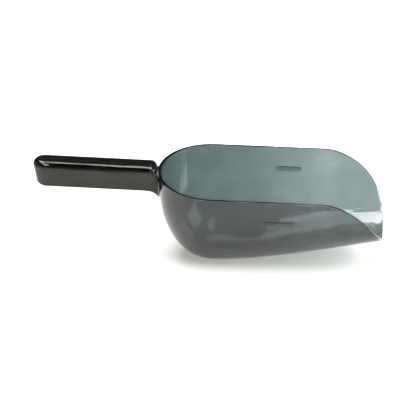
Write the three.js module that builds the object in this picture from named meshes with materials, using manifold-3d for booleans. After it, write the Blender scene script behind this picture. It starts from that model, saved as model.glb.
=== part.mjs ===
// Ice scoop: a thin round-backed bowl with a raked mouth, and a hollow straight grip behind it.
//
// Millimetres, +Z up, +X towards the mouth. The origin is on the flat foot that the scoop stands on,
// straight below the centre of the bowl's round back. The scoop is symmetric about the XZ plane.
// Depths are counted downwards from the rim plane.

import * as THREE from 'three';
import { LoftGeometry } from 'three/addons/geometries/LoftGeometry.js';
import { mergeVertices } from 'three/addons/utils/BufferGeometryUtils.js';
import Module from 'manifold-3d';

const wasm = await Module();
wasm.setup();

// ---------------------------------------------------------------- driving dimensions

const WALL = 2.5; // thickness of the grip's walls
const BACK_WALL = 2.6; // the bowl's wall is thickest at its back and thins out towards the mouth
const MOUTH_WALL = 1.8;
const TAPER_START = -10; // station at which the bowl's wall begins to thin out
const TAPER_END = 100;
const GAP = 0.3; // clearance between pieces that touch

const RIM_HALF_WIDTH = 50.9; // half the bowl's width across the rim, which is also its back radius
const BACK_REACH = 47.5; // from the origin's axis back to the rim behind it
const BOWL_DEPTH = 78.2; // rim to keel below the back's centre, before the foot is flattened
const FOOT_FLAT = 1; // how much of the keel the flat foot takes off
const WALL_DRAFT = Math.tan(THREE.MathUtils.degToRad(2.5));
const BELLY_START = 8.5; // depth below the rim at which the walls begin to curve in
const BELLY_POWER = 2.2; // exponent of the belly's quarter superellipse
const KEEL_SLOPE = 0.284; // slope that the keel rises to, towards the mouth
const KEEL_BEND = 58; // length over which the keel turns from level to that slope

const MOUTH_SHOULDER = 94.2; // where the mouth's edge leaves the rim
const MOUTH_TIP = 145.9; // foremost point of the mouth's edge
const MOUTH_POWER = 1.72; // exponent of the superelliptic mouth edge

const MARKS = [ // level marks: the side each is on, its centre and its length
  { side: -1, x: 57.2, length: 24.6 },
  { side: 1, x: 62.8, length: 21.6 },
];
const MARK_DEPTH = 20.6;
const MARK_HEIGHT = 3.9;
const MARK_PROUD = 0.65;

const GRIP_BACK = -153.9; // free end of the grip
const GRIP_FRONT = -48.2; // top of the grip's end at the bowl
const GRIP_HALF_WIDTH = 10.45;
const GRIP_TOP = 5.7; // above the rim plane, at the bowl's end
const GRIP_BOTTOM = -17.45; // below the rim plane, at the bowl's end
const GRIP_TOP_ROUND = 5.1; // rounding along the top edge
const GRIP_BOTTOM_ROUND = 2.9; // rounding along the bottom edge
const GRIP_FRONT_CORNER = 5.6; // rounding of the two upright corners beside the rim
const GRIP_SIDE_DRAFT = Math.tan(THREE.MathUtils.degToRad(5));
const GRIP_END_DRAFT = Math.tan(THREE.MathUtils.degToRad(12));
const GRIP_RISE = THREE.MathUtils.degToRad(0.5); // the grip climbs slightly towards its free end
const SEAM = 3.0; // height of the cover's seam above the rim plane
const GUSSET_REACH = 12; // fillet under the grip where it meets the bowl: along the grip and down
const GUSSET_DROP = 7.5;
const GUSSET_HALF_WIDTH = 7.5;
const CORNER_FADE = 4; // depth over which the upright front corners run out into the bowl
const END_PLUNGE = 8; // how far the grip's end runs on into the bowl's wall before it is cut
const SIDE_STILL = -75; // the grip's sides are straight behind this station
const EDGE_BREAK = 0.5; // rounding inside the hollow

// ---------------------------------------------------------------- derived dimensions

const RIM_Z = BOWL_DEPTH - FOOT_FLAT;
const BEYOND = 20; // how far cutting tools reach past what they cut
const HALF_TURN = Math.PI;
const QUARTER_TURN = Math.PI / 2;

// ---------------------------------------------------------------- mesh and solid helpers

// Welds shared vertices and drops the triangles that a collapsed row leaves behind.
function weld(geometry) {
  const bare = new THREE.BufferGeometry();
  bare.setAttribute('position', geometry.getAttribute('position'));
  bare.setIndex(geometry.getIndex());
  const merged = mergeVertices(bare, 1e-4);
  const corners = merged.index.array;
  const kept = [];
  for (let i = 0; i < corners.length; i += 3) {
    const [a, b, c] = [corners[i], corners[i + 1], corners[i + 2]];
    if (a !== b && b !== c && c !== a) kept.push(a, b, c);
  }
  merged.setIndex(kept);
  return merged;
}

function solid(geometry) {
  const welded = weld(geometry);
  const mesh = new wasm.Mesh({
    numProp: 3,
    vertProperties: new Float32Array(welded.attributes.position.array),
    triVerts: new Uint32Array(welded.index.array),
  });
  return new wasm.Manifold(mesh);
}

function toGeometry(manifold) {
  const mesh = manifold.getMesh();
  const geometry = new THREE.BufferGeometry();
  geometry.setAttribute('position', new THREE.BufferAttribute(mesh.vertProperties, 3));
  geometry.setIndex(new THREE.BufferAttribute(mesh.triVerts, 1));
  geometry.computeVertexNormals();
  return geometry;
}

function box(low, high) {
  const size = new THREE.Vector3().subVectors(high, low);
  const centre = new THREE.Vector3().addVectors(high, low).multiplyScalar(0.5);
  const geometry = new THREE.BoxGeometry(size.x, size.y, size.z);
  geometry.translate(centre.x, centre.y, centre.z);
  return solid(geometry);
}

// A side-view outline in (x, z), extruded to both sides of the XZ plane.
function sidePrism(outline, halfWidth) {
  const geometry = new THREE.ExtrudeGeometry(outline, {
    depth: 2 * halfWidth,
    bevelEnabled: false,
    curveSegments: 8,
  });
  geometry.rotateX(QUARTER_TURN);
  geometry.translate(0, halfWidth, 0);
  return solid(geometry);
}

function steps(from, to, count) {
  return Array.from({ length: count + 1 }, (_, i) => from + ((to - from) * i) / count);
}

// ---------------------------------------------------------------- bowl

function keelDepth(x) {
  return BOWL_DEPTH - KEEL_SLOPE * (Math.hypot(x, KEEL_BEND) - KEEL_BEND);
}

// Half the width of the bowl's cross-section at station x and a depth below the rim, with the surface
// moved outwards by grow: a drafted wall, closed by a quarter superellipse from the belly's start.
function halfWidth(x, depth, grow) {
  const height = keelDepth(x) + grow - BELLY_START;
  const share = THREE.MathUtils.clamp((depth - BELLY_START) / height, 0, 1);
  const wall = RIM_HALF_WIDTH + grow - WALL_DRAFT * depth;
  return wall * (1 - share ** BELLY_POWER) ** (1 / BELLY_POWER);
}

// Thickness of the bowl's wall at a station.
function wallAt(x) {
  const t = THREE.MathUtils.smoothstep(x, TAPER_START, TAPER_END);
  return THREE.MathUtils.lerp(BACK_WALL, MOUTH_WALL, t);
}

// One rib of the bowl's surface at station x: pairs of half width and depth, from the keel up round
// the belly and the wall, to a given height above the rim, and in to the middle.
function rib(x, grow, above) {
  const height = keelDepth(x) + grow - BELLY_START;
  const belly = steps(0, QUARTER_TURN, 16).map(
    (angle) => BELLY_START + height * Math.sin(angle) ** (2 / BELLY_POWER),
  );
  const depths = [-above, ...belly];
  return [[0, -above], ...depths.map((depth) => [halfWidth(x, depth, grow), depth])].reverse();
}

// The bowl as a filled body, moved outwards by growAt(x) at each station. Its ribs run from the mouth
// along one side, round the back and out again.
function bowlBody(growAt, above) {
  const reach = MOUTH_TIP + BEYOND / 2;
  const stations = [0, 10, 21, 34, 50, 68, 89, 111, 131, reach];
  const side = (x, sign, squash) => rib(x, growAt(x), above).map(
    ([half, depth]) => new THREE.Vector3(x, sign * squash * half, RIM_Z - depth),
  );
  const back = (angle) => {
    const grow = growAt(-BACK_REACH * Math.sin(angle));
    const stretch = (BACK_REACH + grow) / (RIM_HALF_WIDTH + grow);
    return rib(0, grow, above).map(([half, depth]) => new THREE.Vector3(
      -half * stretch * Math.sin(angle),
      -half * Math.cos(angle),
      RIM_Z - depth,
    ));
  };
  const sections = [
    side(reach, 1, 0),
    ...stations.slice().reverse().map((x) => side(x, -1, 1)),
    ...steps(0, HALF_TURN, 28).slice(1, -1).map(back),
    ...stations.map((x) => side(x, 1, 1)),
    side(reach, 1, 0),
  ];
  return solid(new LoftGeometry(sections, { closed: false }));
}

// Everything in front of the mouth's raked edge, a quarter superellipse in side view.
function mouthCutter() {
  const tipDepth = keelDepth(MOUTH_TIP);
  const outline = new THREE.Shape();
  outline.moveTo(MOUTH_SHOULDER, RIM_Z + BEYOND);
  for (const angle of steps(0, QUARTER_TURN, 20)) {
    const along = Math.sin(angle) ** (2 / MOUTH_POWER);
    const up = Math.max(Math.cos(angle), 0) ** (2 / MOUTH_POWER);
    const x = MOUTH_SHOULDER + (MOUTH_TIP - MOUTH_SHOULDER) * along;
    outline.lineTo(x, RIM_Z - tipDepth * (1 - up));
  }
  outline.lineTo(MOUTH_TIP, -BEYOND);
  outline.lineTo(MOUTH_TIP + BEYOND, -BEYOND);
  outline.lineTo(MOUTH_TIP + BEYOND, RIM_Z + BEYOND);
  outline.closePath();
  return sidePrism(outline, RIM_HALF_WIDTH + BEYOND);
}

// The bowl as a filled body moved outwards by the same distance everywhere.
function evenBowl(grow) {
  return bowlBody(() => grow, 0);
}

// A raised round-ended bar on the outside of each side wall.
function levelMark({ side, x, length }) {
  const radius = MARK_HEIGHT / 2;
  const reach = length / 2 - radius;
  const z = RIM_Z - MARK_DEPTH;
  const outline = new THREE.Shape();
  outline.absarc(x + reach, z, radius, -QUARTER_TURN, QUARTER_TURN, false);
  outline.absarc(x - reach, z, radius, QUARTER_TURN, HALF_TURN + QUARTER_TURN, false);
  outline.closePath();
  const halfWidth = RIM_HALF_WIDTH / 2;
  return sidePrism(outline, halfWidth).translate(0, side * (halfWidth + BEYOND / 2), 0);
}

function bowlGeometry() {
  const far = RIM_HALF_WIDTH + BACK_REACH + MOUTH_TIP;
  const underFloor = box(new THREE.Vector3(-far, -far, -BEYOND), new THREE.Vector3(far, far, 0));
  const marks = MARKS.map(levelMark).reduce((all, mark) => all.add(mark));
  const shell = evenBowl(0)
    .add(marks.intersect(evenBowl(MARK_PROUD)))
    .subtract(bowlBody((x) => -wallAt(x), BEYOND / 4))
    .subtract(mouthCutter())
    .subtract(underFloor);
  return toGeometry(shell);
}

// ---------------------------------------------------------------- grip

// Nodes of the grip's plan outline, anticlockwise. Each has a centre, a radius and a direction, so an
// inset moves its point back along that direction. shift is how far it moves towards the bowl below
// the rim plane, where the two front corners run out and the grip goes on into the bowl's wall. drift
// is 1 round the free end, whose draft is steeper than the sides'.
function gripPlan() {
  const half = GRIP_HALF_WIDTH;
  const radius = GRIP_FRONT_CORNER;
  const corner = (sign) => steps(0, QUARTER_TURN, 4).map((angle) => (
    { x: GRIP_FRONT - radius, y: sign * (half - radius), radius, angle: sign * angle, shift: END_PLUNGE }
  ));
  const side = (sign) => [
    ...steps(GRIP_BACK + 2 * half, SIDE_STILL, 3).map((x) => [x, 0]),
    ...steps(0.5, 1, 4).map((t) => [SIDE_STILL + t * (GRIP_FRONT - radius - SIDE_STILL - 1), t * END_PLUNGE]),
  ].map(([x, shift]) => ({ x, y: 0, radius: half, angle: sign * QUARTER_TURN, shift }));
  const freeEnd = steps(QUARTER_TURN, HALF_TURN + QUARTER_TURN, 14).map(
    (angle) => ({ x: GRIP_BACK + half, y: 0, radius: half, angle, shift: 0, drift: 1 }),
  );
  const middle = { x: GRIP_FRONT - radius, y: 0, radius, angle: 0, shift: END_PLUNGE };
  return [middle, ...corner(1), ...side(1).reverse(), ...freeEnd, ...side(-1), ...corner(-1).reverse()];
}

// One level ring of the grip: edge is its inset, and squash 0 folds it onto the XZ plane.
function gripRing(level, edge, squash) {
  const depth = Math.max(GRIP_TOP - GRIP_TOP_ROUND - level, 0);
  const sunk = THREE.MathUtils.clamp(-level / CORNER_FADE, 0, 1);
  const half = GRIP_HALF_WIDTH - edge - GRIP_SIDE_DRAFT * depth;
  return gripPlan().map((node) => {
    const along = Math.cos(node.angle);
    const across = Math.sin(node.angle);
    const out = node.radius - edge - GRIP_SIDE_DRAFT * depth * (node.drift ? 1 : across * across);
    const x = node.x + out * along + (node.drift ? (GRIP_END_DRAFT - GRIP_SIDE_DRAFT) * depth : 0);
    const y = node.y + out * across;
    if (node.y === 0) return new THREE.Vector3(x + sunk * node.shift, squash * y, RIM_Z + level);
    const squareX = node.x + out + node.shift;
    const squareY = Math.sign(node.y) * half;
    const { lerp } = THREE.MathUtils;
    return new THREE.Vector3(lerp(x, squareX, sunk), squash * lerp(y, squareY, sunk), RIM_Z + level);
  });
}

// The grip as a filled body between two levels, inset all round, with its long edges rounded.
function gripBody({ inset, top, bottom, topRound, bottomRound }) {
  const rings = [];
  const ring = (level, edge, squash = 1) => rings.push(gripRing(level, inset + edge, squash));
  ring(top, topRound, 0);
  for (const angle of steps(QUARTER_TURN, 0, 6)) {
    ring(top - topRound * (1 - Math.sin(angle)), topRound * (1 - Math.cos(angle)));
  }
  for (const level of steps(0, -CORNER_FADE, 3)) ring(level, 0);
  for (const level of steps(-CORNER_FADE, bottom + bottomRound, 3).slice(1, -1)) ring(level, 0);
  for (const angle of steps(0, QUARTER_TURN, 4)) {
    ring(bottom + bottomRound * (1 - Math.sin(angle)), bottomRound * (1 - Math.cos(angle)));
  }
  ring(bottom, bottomRound, 0);
  return solid(new LoftGeometry(rings.reverse()));
}

function gripOutside() {
  return gripBody({
    inset: 0,
    top: GRIP_TOP,
    bottom: GRIP_BOTTOM,
    topRound: GRIP_TOP_ROUND,
    bottomRound: GRIP_BOTTOM_ROUND,
  });
}

// A straight-topped body that fills the grip's hollow.
function gripHollow() {
  return gripBody({
    inset: WALL,
    top: GRIP_TOP + GRIP_TOP_ROUND,
    bottom: GRIP_BOTTOM + WALL,
    topRound: EDGE_BREAK,
    bottomRound: EDGE_BREAK,
  });
}

function slab(low, high) {
  return box(
    new THREE.Vector3(GRIP_BACK - BEYOND, -BEYOND, RIM_Z + low),
    new THREE.Vector3(0, BEYOND, RIM_Z + high),
  );
}

// Turns a grip piece about the top of its bowl end, so that its free end is the higher one.
function raise(manifold) {
  const geometry = toGeometry(manifold);
  geometry.translate(-GRIP_FRONT, 0, -RIM_Z);
  geometry.rotateY(GRIP_RISE);
  geometry.translate(GRIP_FRONT, 0, RIM_Z);
  return solid(geometry);
}

// The concave fillet between the grip's underside and the bowl's back wall.
function gusset() {
  const bottom = RIM_Z + GRIP_BOTTOM;
  const depth = GUSSET_DROP - GRIP_BOTTOM;
  const wallX = -BACK_REACH * halfWidth(0, depth, 0) / RIM_HALF_WIDTH;
  const centreX = wallX - GUSSET_REACH;
  const centreZ = bottom - GUSSET_DROP;
  const outline = new THREE.Shape();
  outline.moveTo(centreX, bottom + 1);
  outline.lineTo(centreX, bottom);
  outline.absellipse(centreX, centreZ, GUSSET_REACH, GUSSET_DROP, QUARTER_TURN, 0, true);
  outline.lineTo(wallX + END_PLUNGE, centreZ);
  outline.lineTo(wallX + END_PLUNGE, bottom + 1);
  outline.closePath();
  return sidePrism(outline, GUSSET_HALF_WIDTH);
}

// The open channel, whose closed front end fits against the bowl's back.
function handleShellGeometry() {
  const hollow = gripHollow().subtract(evenBowl(GAP + WALL));
  const below = slab(GRIP_BOTTOM - BEYOND, SEAM - GAP / 2);
  const channel = gripOutside().intersect(below).add(gusset()).subtract(hollow);
  return toGeometry(raise(channel).subtract(evenBowl(GAP)));
}

// The lid that closes the channel's open top.
function handleCoverGeometry() {
  return toGeometry(raise(gripOutside().intersect(slab(SEAM + GAP / 2, GRIP_TOP + BEYOND))));
}

// ---------------------------------------------------------------- assembly

function plastic(color, roughness) {
  return new THREE.MeshStandardMaterial({ color, roughness, metalness: 0 });
}

function piece(name, geometry, material) {
  const mesh = new THREE.Mesh(geometry, material);
  mesh.name = name;
  return mesh;
}

const handlePlastic = plastic(0x3a3d3c, 0.15);

const scoop = new THREE.Group();
scoop.add(piece('bowl', bowlGeometry(), plastic(0x6f8080, 0.12)));
scoop.add(piece('handle_shell', handleShellGeometry(), handlePlastic));
scoop.add(piece('handle_cover', handleCoverGeometry(), handlePlastic));

export default scoop;
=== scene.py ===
"""Ice scoop in smoke-tinted clear plastic: fine meshes, materials, studio light and camera.

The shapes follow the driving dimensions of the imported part, in millimetres, and are scaled to
metres when a mesh is made. +X points to the mouth, +Z is up, and the scoop stands on the floor.
A station is a place along X. A depth counts down from the rim, and a level counts up from it.
"""

import math

import bmesh
import bpy
from mathutils import Matrix, Vector


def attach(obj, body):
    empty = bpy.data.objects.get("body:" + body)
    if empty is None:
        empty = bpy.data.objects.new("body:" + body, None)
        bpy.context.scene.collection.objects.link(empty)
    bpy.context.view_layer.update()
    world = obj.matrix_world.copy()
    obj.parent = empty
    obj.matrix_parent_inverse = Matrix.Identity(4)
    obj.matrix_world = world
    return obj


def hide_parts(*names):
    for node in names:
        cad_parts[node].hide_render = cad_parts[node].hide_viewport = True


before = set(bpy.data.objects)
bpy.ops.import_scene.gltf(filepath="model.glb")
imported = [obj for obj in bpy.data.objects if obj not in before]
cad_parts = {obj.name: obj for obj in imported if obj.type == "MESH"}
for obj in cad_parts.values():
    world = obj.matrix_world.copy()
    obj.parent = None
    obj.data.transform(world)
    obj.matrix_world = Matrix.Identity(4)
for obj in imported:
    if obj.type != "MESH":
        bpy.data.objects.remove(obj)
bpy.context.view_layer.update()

MM = 0.001

# ---------------------------------------------------------------- driving dimensions (mm)

WALL = 2.5  # thickness of the handle's moulded walls
BACK_WALL = 2.6  # the bowl's wall is thickest at its back and thins out towards the mouth
MOUTH_WALL = 1.8
TAPER_START = -10.0  # station at which the bowl's wall begins to thin out
TAPER_END = 100.0
GAP = 0.3  # clearance between the handle and the bowl, and along the cover's seam

RIM_HALF_WIDTH = 50.9
BACK_REACH = 47.5  # from station 0 to the back of the rim
BOWL_DEPTH = 78.2
FOOT_FLAT = 1.0  # how much of that depth is flattened away at the foot
FOOT_SOFTNESS = 0.15
WALL_DRAFT = math.tan(math.radians(2.5))
BELLY_START = 8.5  # depth at which the drafted wall turns into the belly
BELLY_POWER = 2.2
KEEL_SLOPE = 0.284
KEEL_BEND = 58.0
MOUTH_SHOULDER = 94.2  # station at which the rim starts to fall towards the tip
MOUTH_TIP = 145.9
MOUTH_POWER = 1.72
RIM_ROUND = 0.2  # radius of the edges round the rim and the mouth

MARKS = [(-1, 57.2, 24.6), (1, 62.8, 21.6)]  # the side each is on, its centre and its length
MARK_DEPTH = 20.6  # from the rim to a mark's middle line
MARK_HEIGHT = 3.9
MARK_PROUD = 0.65
MARK_SOFTNESS = 1.3  # width of its sloping edge
MARK_MARGIN = 2.5  # how far the finer mesh goes beyond a mark
MARK_CUTS = 7

GRIP_BACK = -153.9
GRIP_FRONT = -48.2
GRIP_HALF_WIDTH = 10.45
GRIP_TOP = 5.7
GRIP_BOTTOM = -17.45
GRIP_TOP_ROUND = 5.1
GRIP_BOTTOM_ROUND = 2.9
GRIP_FRONT_CORNER = 5.6
GRIP_SIDE_DRAFT = math.tan(math.radians(5))
GRIP_END_DRAFT = math.tan(math.radians(12))
GRIP_RISE = math.radians(0.5)
SEAM = 3.0  # level of the middle of the gap under the cover
SEAM_ROUND = 0.25
SEAM_BEVEL = 0.07  # the middle of that rounding, in from its two sides
CHANNEL_ROUND = 0.8  # bottom edge inside the channel
GUSSET_REACH = 12.0
GUSSET_DROP = 7.5
GUSSET_HALF_WIDTH = 7.5
GUSSET_FADE = 2.4
CORNER_FADE = 4.0  # below the rim the front corners turn square over this height
END_PLUNGE = 8.0  # how far the grip is drawn into the bowl before it is fitted to its back
FOLD_INSET = 0.3  # how far a ring folded onto the XZ plane steps back from the front

RIM_Z = BOWL_DEPTH - FOOT_FLAT
QUARTER = math.pi / 2


def clamp(value, low, high):
    return max(low, min(high, value))


def lerp(a, b, t):
    return a + (b - a) * t


def smoothstep(t):
    t = clamp(t, 0.0, 1.0)
    return t * t * (3 - 2 * t)


def steps(start, end, count):
    return [start + (end - start) * i / count for i in range(count + 1)]


# ---------------------------------------------------------------- bowl surface

WALL_SHARE = 0.085  # share of a rib, from rim to keel, that is drafted wall above the belly


def keel_depth(x):
    """Depth of the keel at a station: deepest at the back, and less towards the mouth."""
    return BOWL_DEPTH - KEEL_SLOPE * (math.hypot(x, KEEL_BEND) - KEEL_BEND)


def rib_point(x, v, grow):
    """Half width and depth at station x, where v runs from 0 at the rim to 1 at the keel."""
    if v <= WALL_SHARE:
        depth = BELLY_START * v / WALL_SHARE
        return RIM_HALF_WIDTH + grow - WALL_DRAFT * depth, depth
    angle = QUARTER * (v - WALL_SHARE) / (1 - WALL_SHARE)
    height = keel_depth(x) + grow - BELLY_START
    depth = BELLY_START + height * math.sin(angle) ** (2 / BELLY_POWER)
    wall = RIM_HALF_WIDTH + grow - WALL_DRAFT * depth
    return wall * max(math.cos(angle), 0.0) ** (2 / BELLY_POWER), depth


def rib_share(x, depth, grow):
    """The v of a depth at station x: the inverse of rib_point."""
    if depth <= BELLY_START:
        return WALL_SHARE * depth / BELLY_START
    share = clamp((depth - BELLY_START) / (keel_depth(x) + grow - BELLY_START), 0.0, 1.0)
    angle = math.asin(share ** (BELLY_POWER / 2))
    return WALL_SHARE + (1 - WALL_SHARE) * angle / QUARTER


def half_width(x, depth, grow):
    """Half width of the bowl at a station and depth, moved outwards by grow."""
    return rib_point(x, rib_share(x, depth, grow), grow)[0]


def wall_at(x):
    """Thickness of the bowl's wall at a station."""
    return lerp(BACK_WALL, MOUTH_WALL, smoothstep((x - TAPER_START) / (TAPER_END - TAPER_START)))


def mouth_edge(angle):
    """Station and depth of the mouth's edge in side view, from the shoulder (0) to the tip."""
    along = math.sin(angle) ** (2 / MOUTH_POWER)
    up = max(math.cos(angle), 0.0) ** (2 / MOUTH_POWER)
    x = lerp(MOUTH_SHOULDER, MOUTH_TIP, along)
    return x, keel_depth(MOUTH_TIP) * (1 - up)


MOUTH_CORNER_ANGLE = math.radians(42)  # where the grid's top side hands over to its front side
MOUTH_STEPS = 240
RIM_STEPS = 60


def resample(points, count):
    """count + 1 points spaced evenly along a polyline of (x, v) pairs, v weighted as a length."""
    weight = 100.0
    lengths = [0.0]
    for (x0, v0), (x1, v1) in zip(points, points[1:]):
        lengths.append(lengths[-1] + math.hypot(x1 - x0, weight * (v1 - v0)))
    result = []
    segment = 0
    for i in range(count + 1):
        target = lengths[-1] * i / count
        while segment < len(points) - 2 and lengths[segment + 1] < target:
            segment += 1
        span = lengths[segment + 1] - lengths[segment]
        t = clamp((target - lengths[segment]) / span, 0.0, 1.0) if span > 0 else 0.0
        (x0, v0), (x1, v1) = points[segment], points[segment + 1]
        result.append((lerp(x0, x1, t), lerp(v0, v1, t)))
    return result


def mouth_polyline(grow, start, end):
    """(x, v) along the mouth's edge between two of its angles, ending at the keel if it is met."""
    points = []
    for angle in steps(start, end, MOUTH_STEPS):
        x, depth = mouth_edge(angle)
        keel = keel_depth(x) + grow
        if depth >= keel:
            points.append((x, 1.0))
            break
        points.append((x, rib_share(x, depth, grow)))
    if end == QUARTER:
        points[-1] = (points[-1][0], 1.0)
    return points


SIDE_COLUMNS = 62
BACK_COLUMNS = 60
ROWS = 54
EDGE_STEPS = 3  # in each of the two roundings of the bowl's edge


def side_grid(grow):
    """(x, v) of a side wall's grid, rows from the rim down to the keel, columns from x 0 forwards.

    A Coons patch: its top side is the rim and the upper mouth edge, and its front side is the rest
    of the mouth edge, so the cells stay square up to the edge.
    """
    top_line = [(x, 0.0) for x in steps(0, MOUTH_SHOULDER, RIM_STEPS)]
    top_line += mouth_polyline(grow, 0, MOUTH_CORNER_ANGLE)[1:]
    top = resample(top_line, SIDE_COLUMNS)
    front = resample(mouth_polyline(grow, MOUTH_CORNER_ANGLE, QUARTER), ROWS)
    tip = front[-1][0]
    bottom = [(x, 1.0) for x in steps(0, tip, SIDE_COLUMNS)]
    left = [(0.0, v) for v in steps(0, 1, ROWS)]
    grid = []
    for j in range(ROWS + 1):
        t = j / ROWS
        row = []
        for i in range(SIDE_COLUMNS + 1):
            s = i / SIDE_COLUMNS
            point = []
            for k in (0, 1):
                edges = (1 - t) * top[i][k] + t * bottom[i][k] + (1 - s) * left[j][k] + s * front[j][k]
                corners = (1 - s) * ((1 - t) * left[0][k] + t * left[-1][k])
                corners += s * ((1 - t) * front[0][k] + t * front[-1][k])
                point.append(edges - corners)
            row.append((point[0], clamp(point[1], 0.0, 1.0)))
        grid.append(row)
    return grid


def foot(z):
    """Heights near the floor are pressed up into the flat foot, with a soft edge."""
    return (z + math.hypot(z, FOOT_SOFTNESS)) / 2


def bowl_surface(inside):
    """Rows of points from the rim to the keel; columns run from the near mouth round the back.

    The inner surface lies inside the outer one by the wall's thickness at each station.
    """
    grid = side_grid(-MOUTH_WALL if inside else 0)
    rows = []
    for j, cells in enumerate(grid):
        side = []
        for x, v in cells:
            half, depth = rib_point(x, v, -wall_at(x) if inside else 0)
            side.append(Vector((x, half, RIM_Z - depth)))
        back = []
        for a in steps(0, math.pi, BACK_COLUMNS)[1:-1]:
            grow = -wall_at(-BACK_REACH * math.sin(a)) if inside else 0
            half, depth = rib_point(0, j / ROWS, grow)
            stretch = (BACK_REACH + grow) / (RIM_HALF_WIDTH + grow)
            back.append(Vector((-half * stretch * math.sin(a), -half * math.cos(a), RIM_Z - depth)))
        near = [Vector((p.x, -p.y, p.z)) for p in reversed(side)]
        rows.append(near + back + side)
    if not inside:
        for row in rows:
            for p in row:
                p.z = foot(p.z)
    return rows


def boundary(rows):
    """The closed edge of a surface, as (row, column) and the (row, column) one step inside it."""
    last_row, last_column = len(rows) - 1, len(rows[0]) - 1
    loop = []
    for column in range(last_column + 1):
        loop.append(((0, column), (1, clamp(column, 1, last_column - 1))))
    for row in range(1, last_row):
        loop.append(((row, last_column), (row, last_column - 1)))
    loop.append(((last_row, last_column), (last_row, last_column - 1)))
    for row in range(last_row - 1, 0, -1):
        loop.append(((row, 0), (row, 1)))
    return loop


def inward(rows, loop, i):
    """Unit direction from a boundary point into its surface, square to the edge."""
    here, inside = (rows[row][column] for row, column in loop[i])
    ends = [loop[i - 1][0], loop[(i + 1) % len(loop)][0]]
    before, after = (rows[row][column] for row, column in ends)
    tangent = (after - before).normalized()
    way = inside - here
    return (way - tangent * way.dot(tangent)).normalized()


def bowl_mesh():
    """Vertices and faces of the bowl: outer skin, inner skin and the rounded edge between them."""
    outer, inner = bowl_surface(False), bowl_surface(True)
    loop = boundary(outer)
    arc = steps(0, QUARTER, EDGE_STEPS)[1:]
    profiles, moved = [], []
    for i, ((row, column), _) in enumerate(loop):
        o, n = outer[row][column], inner[row][column]
        across = (n - o).normalized()
        down_o, down_n = inward(outer, loop, i), inward(inner, loop, i)
        centre_o = o + RIM_ROUND * (down_o + across)
        centre_n = n + RIM_ROUND * (down_n - across)
        profile = [centre_o - RIM_ROUND * (across * math.cos(a) + down_o * math.sin(a)) for a in arc]
        profile += [
            centre_n + RIM_ROUND * (across * math.cos(a) - down_n * math.sin(a)) for a in reversed(arc)
        ]
        profiles.append(profile)
        moved.append((o + RIM_ROUND * down_o, n + RIM_ROUND * down_n))
    for ((row, column), _), (o, n) in zip(loop, moved):
        outer[row][column] = o
        inner[row][column] = n
    for rows in (outer, inner):
        rows[-1][0] = rows[-1][-1].copy()  # both ends of the keel's row are the tip

    points, faces = [], []
    columns = len(outer[0])

    def add_surface(rows, flip):
        start = len(points)
        for row in rows:
            points.extend(row)
        for j in range(len(rows) - 1):
            for i in range(columns - 1):
                a = start + j * columns + i
                quad = [a, a + columns, a + columns + 1, a + 1]
                faces.append(quad[::-1] if flip else quad)
        return start

    outer_start = add_surface(outer, False)
    inner_start = add_surface(inner, True)
    rings = []
    for ((row, column), _), profile in zip(loop, profiles):
        first = len(points)
        points.extend(profile)
        cell = row * columns + column
        rings.append([outer_start + cell, *range(first, first + len(profile)), inner_start + cell])
    for i, ring in enumerate(rings):
        following = rings[(i + 1) % len(rings)]
        for k in range(len(ring) - 1):
            faces.append([ring[k], following[k], following[k + 1], ring[k + 1]])
    return points, faces


SKIN = 0.5  # a point this close to the bowl's outer surface is taken to be on it


def level_marks(mesh):
    """Raises a round-ended bar on the outside of each side wall of a finished bowl bmesh (mm)."""
    for side, centre, length in MARKS:
        level_mark(mesh, side, centre, length)


def level_mark(mesh, side, centre, length):
    """Makes the mesh finer round one mark, then moves its vertices out to the mark's surface."""
    radius = MARK_HEIGHT / 2
    reach = length / 2 - radius
    z = RIM_Z - MARK_DEPTH

    def near_mark(face):
        c = face.calc_center_median()
        on_outside = side * c.y > half_width(max(c.x, 0), RIM_Z - c.z, 0) - SKIN
        beside = abs(c.x - centre) < length / 2 + MARK_MARGIN
        return beside and abs(c.z - z) < radius + MARK_MARGIN and on_outside

    edges = {e for f in mesh.faces if near_mark(f) for e in f.edges}
    bmesh.ops.subdivide_edges(mesh, edges=list(edges), cuts=MARK_CUTS, use_grid_fill=True)
    for vert in mesh.verts:
        p = vert.co
        if abs(p.x - centre) > length or abs(p.z - z) > 4 * radius:
            continue
        surface = half_width(p.x, RIM_Z - p.z, 0)
        if side * p.y < surface - SKIN:
            continue
        distance = math.hypot(max(abs(p.x - centre) - reach, 0), p.z - z) - radius
        raised = MARK_PROUD * smoothstep(0.5 - distance / MARK_SOFTNESS)
        p.y = side * (surface + raised)


# ---------------------------------------------------------------- grip

FRONT_NODES = 4
CORNER_NODES = 7
END_NODES = 30
FRONT_STATIONS = [0.4, 1.0, 1.8, 2.8, 4.0, 5.5, 7.2, 9.2, 11.5, 14, 17, 21]  # close near the bowl
SIDE_STATIONS = 16
FOLDS = (0.8, 0.6, 0.4, 0.2, 0.0)  # how a flat underside's rings draw in to the XZ plane


def grip_plan():
    """Nodes of the grip's outline, anticlockwise from the middle of its end at the bowl.

    Each node is (kind, x, y, radius, angle): an inset moves it back along its angle.
    """
    half, radius = GRIP_HALF_WIDTH, GRIP_FRONT_CORNER
    front = GRIP_FRONT - radius
    side_x = [front - q for q in FRONT_STATIONS]
    side_x += steps(side_x[-1], GRIP_BACK + half, SIDE_STATIONS)[1:-1]
    upper = [("front", front, y, radius, 0.0) for y in steps(0, half - radius, FRONT_NODES)[:-1]]
    upper += [("corner", front, half - radius, radius, a) for a in steps(0, QUARTER, CORNER_NODES)]
    upper += [("side", x, 0.0, half, QUARTER) for x in side_x]
    upper += [("end", GRIP_BACK + half, 0.0, half, a) for a in steps(QUARTER, math.pi, END_NODES // 2)]
    lower = [(kind, x, -y, radius, -a) for kind, x, y, radius, a in reversed(upper[1:-1])]
    return upper + lower


GRIP_PLAN = grip_plan()


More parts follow.
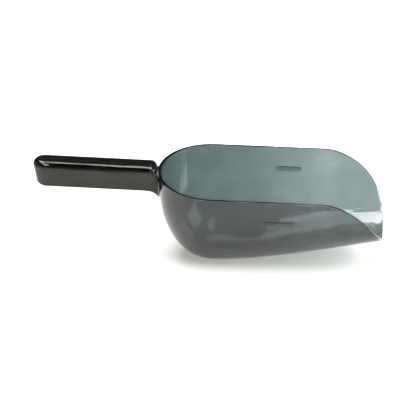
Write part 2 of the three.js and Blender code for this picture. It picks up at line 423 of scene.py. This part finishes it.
def grip_ring(level, edge, squash=1.0):
    """One level ring of the grip. The edge is its inset; a squash of 0 folds it onto the XZ plane."""
    depth = max(GRIP_TOP - GRIP_TOP_ROUND - level, 0)
    sunk = clamp(-level / CORNER_FADE, 0, 1)
    half = GRIP_HALF_WIDTH - edge - GRIP_SIDE_DRAFT * depth
    side_front = GRIP_FRONT - GRIP_FRONT_CORNER
    ring = []
    for kind, x, y, radius, angle in GRIP_PLAN:
        across = math.sin(angle)
        draft = GRIP_SIDE_DRAFT * depth * (1 if kind == "end" else across * across)
        out = radius - edge - draft
        px = x + out * math.cos(angle)
        py = y + out * across
        if kind == "end":
            px += (GRIP_END_DRAFT - GRIP_SIDE_DRAFT) * depth
        elif kind == "side":
            push = clamp((x - GRIP_BACK / 2) / (side_front - GRIP_BACK / 2), 0, 1)
            px += sunk * push * (END_PLUNGE + GRIP_FRONT_CORNER)
        else:
            px = lerp(px, x + out + END_PLUNGE, sunk)
            py = lerp(py, py if kind == "front" else math.copysign(half, across or y), sunk)
        px -= FOLD_INSET * (1 - squash) * max(math.cos(angle), 0)
        ring.append(Vector((px, squash * py, level)))
    return ring


def bowl_back(y, level, clearance):
    """x of the bowl's back surface, moved outwards by a clearance, at y and a level (<= 0)."""
    half = half_width(0, -level, clearance)
    stretch = (BACK_REACH + clearance) / (RIM_HALF_WIDTH + clearance)
    return -stretch * math.sqrt(max(half * half - y * y, 0))


def fit_to_bowl(point, clearance):
    """Turns a grip point up by the grip's rise and slides it back until it is clear of the bowl."""
    x, z = point.x - GRIP_FRONT, point.z
    turned_x = x * math.cos(GRIP_RISE) + z * math.sin(GRIP_RISE) + GRIP_FRONT
    turned_z = z * math.cos(GRIP_RISE) - x * math.sin(GRIP_RISE)
    if turned_z < 0 and turned_x > bowl_back(point.y, turned_z, clearance):
        for _ in range(4):
            wall = bowl_back(point.y, turned_z, clearance)
            turned_z += (turned_x - wall) * math.tan(GRIP_RISE)
            turned_x = wall
    return Vector((turned_x, point.y, turned_z))


def foot_fillet(point):
    """Draws the grip's underside down into a concave fillet against the bowl's back."""
    wall = bowl_back(point.y, point.z, GAP)
    near = 1 - max(wall - point.x, 0) / GUSSET_REACH
    if near <= 0:
        return point
    width = smoothstep((GUSSET_HALF_WIDTH + GUSSET_FADE / 2 - abs(point.y)) / GUSSET_FADE)
    level = point.z - GUSSET_DROP * (1 - math.sqrt(1 - near * near)) * width
    shift = (bowl_back(point.y, level, GAP) - wall) * near
    return Vector((point.x + shift, point.y, level))


def top_round(level):
    """Inset of the rounded top edge at a level above the side."""
    rise = clamp((level - GRIP_TOP + GRIP_TOP_ROUND) / GRIP_TOP_ROUND, 0, 1)
    return GRIP_TOP_ROUND * (1 - math.sqrt(1 - rise * rise))


def bottom_rings(bottom, inset, rounding, count, clearance):
    """Rings, clear of the bowl, that round the bottom edge and close the underside."""
    rings = []
    for angle in steps(0, QUARTER, count):
        level = bottom + rounding * (1 - math.sin(angle))
        ring = grip_ring(level, inset + rounding * (1 - math.cos(angle)))
        rings.append([fit_to_bowl(p, clearance) for p in ring])
    for squash in FOLDS:
        ring = grip_ring(bottom, inset + rounding, squash)
        rings.append([fit_to_bowl(p, clearance + FOLD_INSET * (1 - squash)) for p in ring])
    return rings


def shell_mesh():
    """The open channel: outside, inside and the narrow land that the cover sits over."""
    land = SEAM - GAP / 2
    sides = steps(GRIP_TOP - GRIP_TOP_ROUND, 0, 2)
    sides += steps(0, -CORNER_FADE, 5)[1:]
    sides += steps(-CORNER_FADE, GRIP_BOTTOM + GRIP_BOTTOM_ROUND, 5)[1:-1]
    outside = [grip_ring(level, top_round(level)) for level in (land - SEAM_ROUND, 2.0, 1.3)]
    outside += [grip_ring(level, 0) for level in sides]
    outside = [[fit_to_bowl(p, GAP) for p in ring] for ring in outside]
    under = bottom_rings(GRIP_BOTTOM, 0, GRIP_BOTTOM_ROUND, 6, GAP)
    outside += [[foot_fillet(p) for p in ring] for ring in under]

    inner_bottom = GRIP_BOTTOM + WALL
    levels = [land, 1.2] + steps(0, -CORNER_FADE, 4)
    levels += steps(-CORNER_FADE, inner_bottom + CHANNEL_ROUND, 3)[1:-1]
    inside = [grip_ring(level, WALL) for level in levels]
    inside = [[fit_to_bowl(p, GAP + WALL) for p in ring] for ring in inside]
    inside += bottom_rings(inner_bottom, WALL, CHANNEL_ROUND, 3, GAP + WALL)

    inset = top_round(land)
    lip = [grip_ring(land - SEAM_BEVEL, inset + SEAM_BEVEL), grip_ring(land, inset + SEAM_ROUND)]
    lip = [[fit_to_bowl(p, GAP) for p in ring] for ring in lip]
    return ring_solid(outside[::-1] + lip + inside)


def cover_mesh():
    """The lid: a flat underside at the seam and a well rounded top edge."""
    low = SEAM + GAP / 2
    rings = [grip_ring(low, top_round(low) + SEAM_ROUND, squash) for squash in (0, 0.35, 0.7, 1)]
    rings.append(grip_ring(low + SEAM_BEVEL, top_round(low) + SEAM_BEVEL))
    start = math.asin((low + SEAM_ROUND - GRIP_TOP + GRIP_TOP_ROUND) / GRIP_TOP_ROUND)
    for angle in steps(start, QUARTER, 12):
        level = GRIP_TOP - GRIP_TOP_ROUND * (1 - math.sin(angle))
        rings.append(grip_ring(level, GRIP_TOP_ROUND * (1 - math.cos(angle))))
    rings += [grip_ring(GRIP_TOP, GRIP_TOP_ROUND, squash) for squash in (0.75, 0.5, 0.25, 0)]
    return ring_solid([[fit_to_bowl(p, GAP) for p in ring] for ring in rings])


def ring_solid(rings):
    """Joins closed rings into one skin. The first and the last are folded, so it has no holes."""
    points = [Vector((p.x, p.y, p.z + RIM_Z)) for ring in rings for p in ring]
    count = len(rings[0])
    faces = []
    for j in range(len(rings) - 1):
        for i in range(count):
            k = (i + 1) % count
            faces.append([j * count + i, j * count + k, (j + 1) * count + k, (j + 1) * count + i])
    return points, faces


# ---------------------------------------------------------------- mesh objects

WELD_DISTANCE = 0.004
SLIVER_LENGTH = 0.002


def add_piece(name, points, faces, node, slot, material, detail=None):
    """Welds a mesh, closes folded seams, and puts it in place of its CAD node."""
    mesh = bmesh.new()
    verts = [mesh.verts.new(p) for p in points]
    for face in faces:
        mesh.faces.new([verts[i] for i in face])
    bmesh.ops.remove_doubles(mesh, verts=mesh.verts, dist=WELD_DISTANCE)
    bmesh.ops.dissolve_degenerate(mesh, edges=mesh.edges, dist=SLIVER_LENGTH)
    if detail:
        detail(mesh)
    bmesh.ops.recalc_face_normals(mesh, faces=mesh.faces)
    bmesh.ops.scale(mesh, vec=(MM, MM, MM), verts=mesh.verts)
    data = bpy.data.meshes.new(name)
    mesh.to_mesh(data)
    mesh.free()
    data.materials.append(material)
    data.shade_smooth()
    piece = bpy.data.objects.new(name, data)
    bpy.context.scene.collection.objects.link(piece)
    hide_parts(node)
    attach(piece, "root")
    return piece


# ---------------------------------------------------------------- materials

SCRATCH_SETS = [  # noise scale, stretch, turn, and the noise value above which a scratch shows
    (60, (0.6, 14, 14), 0.12, 0.66),
    (75, (0.5, 16, 16), -0.35, 0.67),
]
SCRATCH_EDGE = 0.04
SCRATCH_ROUGHNESS = 0.12
SCRATCH_STRENGTH = 0.15
SCRATCH_DEPTH = 0.00004
BLOTCH_SCALE = 45
BLOTCH_LOW, BLOTCH_HIGH = 0.6, 1.5  # times the plastic's own roughness
WAVE_SCALE = 28
WAVE_STRENGTH = 0.05
WAVE_HEIGHT = 0.0006
MOTTLE_SCALE = 36
MOTTLE_DARK = (0.84, 0.87, 0.87, 1)
MOTTLE_CLEAR = (1, 1, 1, 1)

FLOOR_GLOW = 0.30  # the floor is a lit table, so shadows on it stay pale
FLOOR_GLOW_COLOUR = (1, 0.985, 0.94, 1)
FLOOR_GRAIN_SCALE = 300
FLOOR_DARK = (0.59, 0.59, 0.57, 1)
FLOOR_LIGHT = (0.61, 0.61, 0.59, 1)


def node_tree(name):
    material = bpy.data.materials.new(name)
    material.use_nodes = True
    tree = material.node_tree
    tree.nodes.clear()
    return material, tree


def smoky_plastic(name, absorption, density, roughness, ior, sheen):
    """Clear plastic with a smoke tint held in its volume, faint flow marks and fine scratches."""
    material, tree = node_tree(name)
    nodes, links = tree.nodes, tree.links
    output = nodes.new("ShaderNodeOutputMaterial")
    shader = nodes.new("ShaderNodeBsdfPrincipled")
    shader.inputs["IOR"].default_value = ior
    shader.inputs["Transmission Weight"].default_value = 1.0
    shader.inputs["Specular Tint"].default_value = (*sheen, 1)
    volume = nodes.new("ShaderNodeVolumeAbsorption")
    volume.inputs["Color"].default_value = (*absorption, 1)
    volume.inputs["Density"].default_value = density
    links.new(shader.outputs["BSDF"], output.inputs["Surface"])
    links.new(volume.outputs["Volume"], output.inputs["Volume"])

    place = nodes.new("ShaderNodeTexCoord")

    def noise(scale, detail, stretch=(1, 1, 1), turn=0.0):
        mapping = nodes.new("ShaderNodeMapping")
        mapping.inputs["Scale"].default_value = stretch
        mapping.inputs["Rotation"].default_value = (0, turn, turn)
        texture = nodes.new("ShaderNodeTexNoise")
        texture.inputs["Scale"].default_value = scale
        texture.inputs["Detail"].default_value = detail
        links.new(place.outputs["Object"], mapping.inputs["Vector"])
        links.new(mapping.outputs["Vector"], texture.inputs["Vector"])
        return texture.outputs["Fac"]

    def remap(value, low, high, to_low, to_high):
        node = nodes.new("ShaderNodeMapRange")
        node.inputs["From Min"].default_value = low
        node.inputs["From Max"].default_value = high
        node.inputs["To Min"].default_value = to_low
        node.inputs["To Max"].default_value = to_high
        links.new(value, node.inputs["Value"])
        return node.outputs["Result"]

    def add(first, second):
        node = nodes.new("ShaderNodeMath")
        node.operation = "ADD"
        links.new(first, node.inputs[0])
        links.new(second, node.inputs[1])
        return node.outputs["Value"]

    def bump(height, strength, distance):
        node = nodes.new("ShaderNodeBump")
        node.inputs["Strength"].default_value = strength
        node.inputs["Distance"].default_value = distance
        links.new(height, node.inputs["Height"])
        return node

    scratches = add(*(
        remap(noise(scale, 2, stretch, turn), level, level + SCRATCH_EDGE, 0, 0.5)
        for scale, stretch, turn, level in SCRATCH_SETS
    ))
    low, high = roughness * BLOTCH_LOW, roughness * BLOTCH_HIGH
    blotches = remap(noise(BLOTCH_SCALE, 3), 0.35, 0.7, low, high)
    scuffed = remap(scratches, 0, 1, 0, SCRATCH_ROUGHNESS)
    links.new(add(blotches, scuffed), shader.inputs["Roughness"])

    waviness = bump(noise(WAVE_SCALE, 1, (0.6, 1, 1)), WAVE_STRENGTH, WAVE_HEIGHT)
    scoring = bump(scratches, SCRATCH_STRENGTH, SCRATCH_DEPTH)
    scoring.invert = True
    links.new(waviness.outputs["Normal"], scoring.inputs["Normal"])
    links.new(scoring.outputs["Normal"], shader.inputs["Normal"])

    tint = nodes.new("ShaderNodeMix")
    tint.data_type = "RGBA"
    tint.inputs["A"].default_value = MOTTLE_DARK
    tint.inputs["B"].default_value = MOTTLE_CLEAR
    links.new(remap(noise(MOTTLE_SCALE, 3), 0.36, 0.64, 0, 1), tint.inputs["Factor"])
    links.new(tint.outputs["Result"], shader.inputs["Base Color"])
    return material


def floor_material():
    material, tree = node_tree("white_sweep")
    nodes, links = tree.nodes, tree.links
    output = nodes.new("ShaderNodeOutputMaterial")
    shader = nodes.new("ShaderNodeBsdfPrincipled")
    shader.inputs["Roughness"].default_value = 0.9
    shader.inputs["Specular IOR Level"].default_value = 0.1
    shader.inputs["Emission Color"].default_value = FLOOR_GLOW_COLOUR
    shader.inputs["Emission Strength"].default_value = FLOOR_GLOW
    grain = nodes.new("ShaderNodeTexNoise")
    grain.inputs["Scale"].default_value = FLOOR_GRAIN_SCALE
    colour = nodes.new("ShaderNodeMix")
    colour.data_type = "RGBA"
    colour.inputs["A"].default_value = FLOOR_DARK
    colour.inputs["B"].default_value = FLOOR_LIGHT
    links.new(grain.outputs["Fac"], colour.inputs["Factor"])
    links.new(colour.outputs["Result"], shader.inputs["Base Color"])
    links.new(shader.outputs["BSDF"], output.inputs["Surface"])
    return material


# ---------------------------------------------------------------- the scoop

BOWL_SMOKE = {
    "absorption": (0.02, 0.152, 0.155),  # colour of the volume; its complement is absorbed
    "density": 975.0,
    "roughness": 0.03,
    "ior": 1.55,
    "sheen": (1, 1, 1),
}
HANDLE_SMOKE = {
    "absorption": (0.03, 0.10, 0.08),
    "density": 1000.0,
    "roughness": 0.05,
    "ior": 1.47,
    "sheen": (0.85, 0.78, 0.74),  # warms and dims what its sides mirror
}

bowl_plastic = smoky_plastic("bowl_smoke_plastic", **BOWL_SMOKE)
handle_plastic = smoky_plastic("handle_smoke_plastic", **HANDLE_SMOKE)

add_piece("bowl_fine", *bowl_mesh(), "bowl", "bowl_plastic", bowl_plastic, level_marks)
add_piece("handle_shell_fine", *shell_mesh(), "handle_shell", "handle_plastic", handle_plastic)
add_piece("handle_cover_fine", *cover_mesh(), "handle_cover", "handle_plastic", handle_plastic)

# ---------------------------------------------------------------- floor, light and camera

FLOOR_HALF = 6.0
WORLD_LEVEL = 0.08

PANEL_HEIGHT = 1.1
OVERHEAD_PANELS = [  # name, x, y, width, length and radiance; each hangs level and faces down
    ("back_softbox_right", 0.07, 0.50, 0.42, 0.84, 9.5),
    ("back_softbox_middle", -0.18, 0.66, 0.08, 0.52, 12.0),
    ("back_softbox_left", -0.425, 0.61, 0.40, 1.22, 9.5),
    ("key_softbox_right", 0.13, -0.5, 0.30, 0.76, 13.0),
    ("key_softbox_left", -0.29, -0.42, 0.15, 0.78, 13.0),
]
SIDE_PANELS = [  # name, place, target, width, length and radiance
    ("left_softbox", (-1.5, 0.1, 0.6), (0.0, 0.0, 0.1), 1.4, 1.1, 0.8),
    ("right_softbox", (1.15, -0.35, 0.85), (0.1, 0.0, 0.05), 0.95, 0.8, 13.0),
]


def add_floor():
    mesh = bmesh.new()
    bmesh.ops.create_grid(mesh, x_segments=8, y_segments=8, size=FLOOR_HALF)
    data = bpy.data.meshes.new("floor")
    mesh.to_mesh(data)
    mesh.free()
    data.materials.append(floor_material())
    floor = bpy.data.objects.new("floor", data)
    bpy.context.scene.collection.objects.link(floor)


def softbox(name, place, target, width, length, radiance):
    """A rectangular area light of a given radiance, facing its target."""
    light = bpy.data.lights.new(name, "AREA")
    light.shape = "RECTANGLE"
    light.size, light.size_y = width, length
    light.energy = math.pi * width * length * radiance
    lamp = bpy.data.objects.new(name, light)
    lamp.location = place
    lamp.rotation_euler = (Vector(target) - Vector(place)).to_track_quat("-Z", "Y").to_euler()
    bpy.context.scene.collection.objects.link(lamp)


def add_world(level):
    world = bpy.data.worlds.new("studio")
    world.use_nodes = True
    background = world.node_tree.nodes["Background"]
    background.inputs["Color"].default_value = (level, level, level, 1)
    bpy.context.scene.world = world


CAMERA_AZIMUTH = math.radians(2.017)
CAMERA_ELEVATION = math.radians(29)
CAMERA_ROLL = math.radians(1.448)
CAMERA_DISTANCE = 3.825
FRAME_WIDTH = 0.340  # metres across the picture at the scoop
AIM_RIGHT = -0.01163  # from the centre of the rim's back arc to the picture's middle
AIM_UP = -0.02370
SENSOR = 36.0  # mm


def add_camera():
    sin_a, cos_a = math.sin(CAMERA_AZIMUTH), math.cos(CAMERA_AZIMUTH)
    sin_e, cos_e = math.sin(CAMERA_ELEVATION), math.cos(CAMERA_ELEVATION)
    level_right = Vector((cos_a, sin_a, 0))
    forward = Vector((-sin_a * cos_e, cos_a * cos_e, -sin_e))
    level_up = level_right.cross(forward)
    right = level_right * math.cos(CAMERA_ROLL) + level_up * math.sin(CAMERA_ROLL)
    up = level_up * math.cos(CAMERA_ROLL) - level_right * math.sin(CAMERA_ROLL)
    aim = Vector((0, 0, RIM_Z * MM))
    place = aim - forward * CAMERA_DISTANCE + right * AIM_RIGHT + up * AIM_UP
    data = bpy.data.cameras.new("camera")
    data.sensor_width = SENSOR
    data.lens = SENSOR * CAMERA_DISTANCE / FRAME_WIDTH
    camera = bpy.data.objects.new("camera", data)
    axes = Matrix((right, up, -forward)).transposed()
    camera.matrix_world = Matrix.Translation(place) @ axes.to_4x4()
    bpy.context.scene.collection.objects.link(camera)
    bpy.context.scene.camera = camera


add_floor()
add_world(WORLD_LEVEL)
for panel, x, y, width, length, radiance in OVERHEAD_PANELS:
    softbox(panel, (x, y, PANEL_HEIGHT), (x, y, 0.0), width, length, radiance)
for panel in SIDE_PANELS:
    softbox(*panel)
add_camera()
bpy.context.scene.view_settings.view_transform = "Standard"
